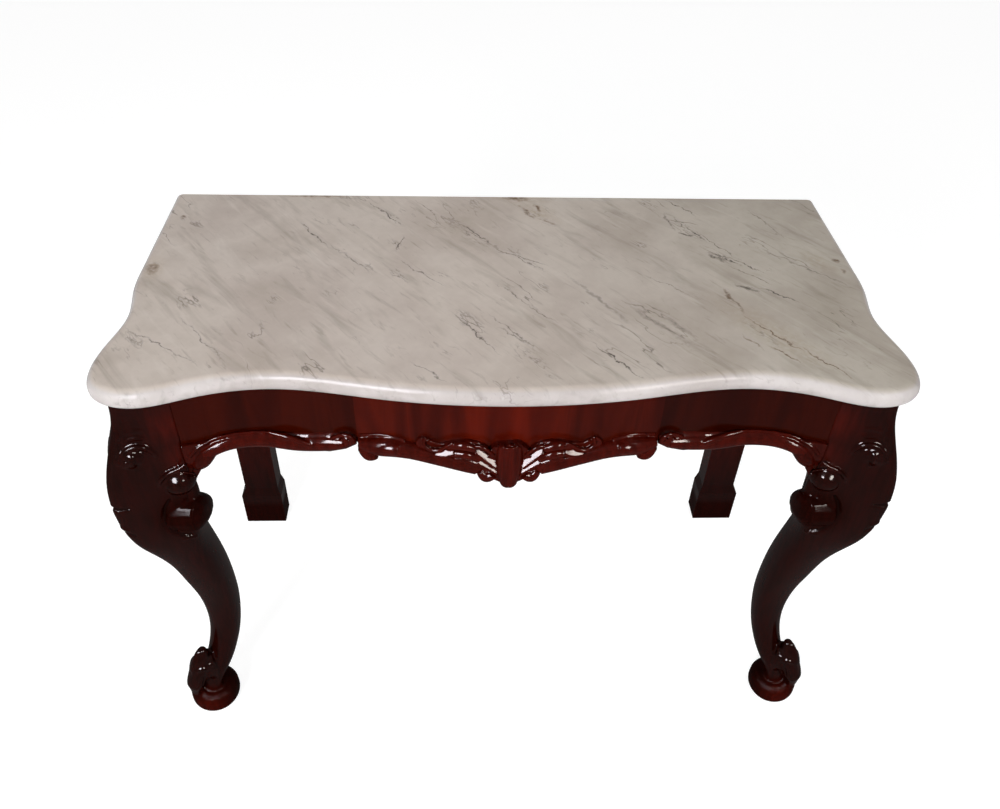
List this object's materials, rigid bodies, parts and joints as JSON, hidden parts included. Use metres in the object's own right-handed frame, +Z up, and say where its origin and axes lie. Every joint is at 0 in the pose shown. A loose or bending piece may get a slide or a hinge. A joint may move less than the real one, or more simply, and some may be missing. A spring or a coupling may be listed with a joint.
{
  "type": "pier table",
  "caption": "Serpentine marble-topped pier table with carved cabriole front legs, plain back legs on plinth blocks and a veneered frieze edged with carved mouldings.",
  "frame": {"origin": "on the floor, in the middle of the footprint", "axes": "+X to the right of someone facing the front, +Y to the wall behind, +Z up"},
  "size_m": [1.2852, 0.6012, 0.88],
  "materials": {
    "marble": "polished white marble with grey-brown veins",
    "mahogany": "carved mahogany, dark French polish",
    "flame_veneer": "flame mahogany veneer, dark French polish",
    "secondary_timber": "plain unpolished timber",
    "steel": "plain steel, slightly tarnished"
  },
  "bodies": {
    "table_frame": {"back_glue_block_left": "secondary_timber", "back_glue_block_right": "secondary_timber", "back_leg_left": "mahogany", "back_leg_right": "mahogany", "back_plinth_block_left": "mahogany", "back_plinth_block_right": "mahogany", "back_rail": "secondary_timber", "block_screws": "steel", "centre_cartouche": "mahogany", "frieze_veneer_centre": "flame_veneer", "frieze_veneer_left": "flame_veneer", "frieze_veneer_right": "flame_veneer", "front_glue_block_left": "secondary_timber", "front_glue_block_right": "secondary_timber", "front_knee_bracket_left": "mahogany", "front_knee_bracket_right": "mahogany", "front_leg_left": "mahogany", "front_leg_right": "mahogany", "front_rail": "secondary_timber", "inner_moulding_left": "mahogany", "inner_moulding_right": "mahogany", "leaf_carving_left": "mahogany", "leaf_carving_right": "mahogany", "outer_moulding_left": "mahogany", "outer_moulding_right": "mahogany", "side_glue_block_left": "secondary_timber", "side_glue_block_right": "secondary_timber", "side_knee_bracket_left": "mahogany", "side_knee_bracket_right": "mahogany", "side_moulding_left": "mahogany", "side_moulding_right": "mahogany", "side_rail_left": "secondary_timber", "side_rail_right": "secondary_timber", "side_veneer_left": "flame_veneer", "side_veneer_right": "flame_veneer", "top_bearer_left": "secondary_timber", "top_bearer_right": "secondary_timber"},
    "slab": {"marble_top": "marble"}
  },
  "joints": [
    {"name": "slab_lift", "type": "slide", "parent": "table_frame", "child": "slab", "axis": [0, 0, 1], "range_m": [0, 0.1]}
  ]
}
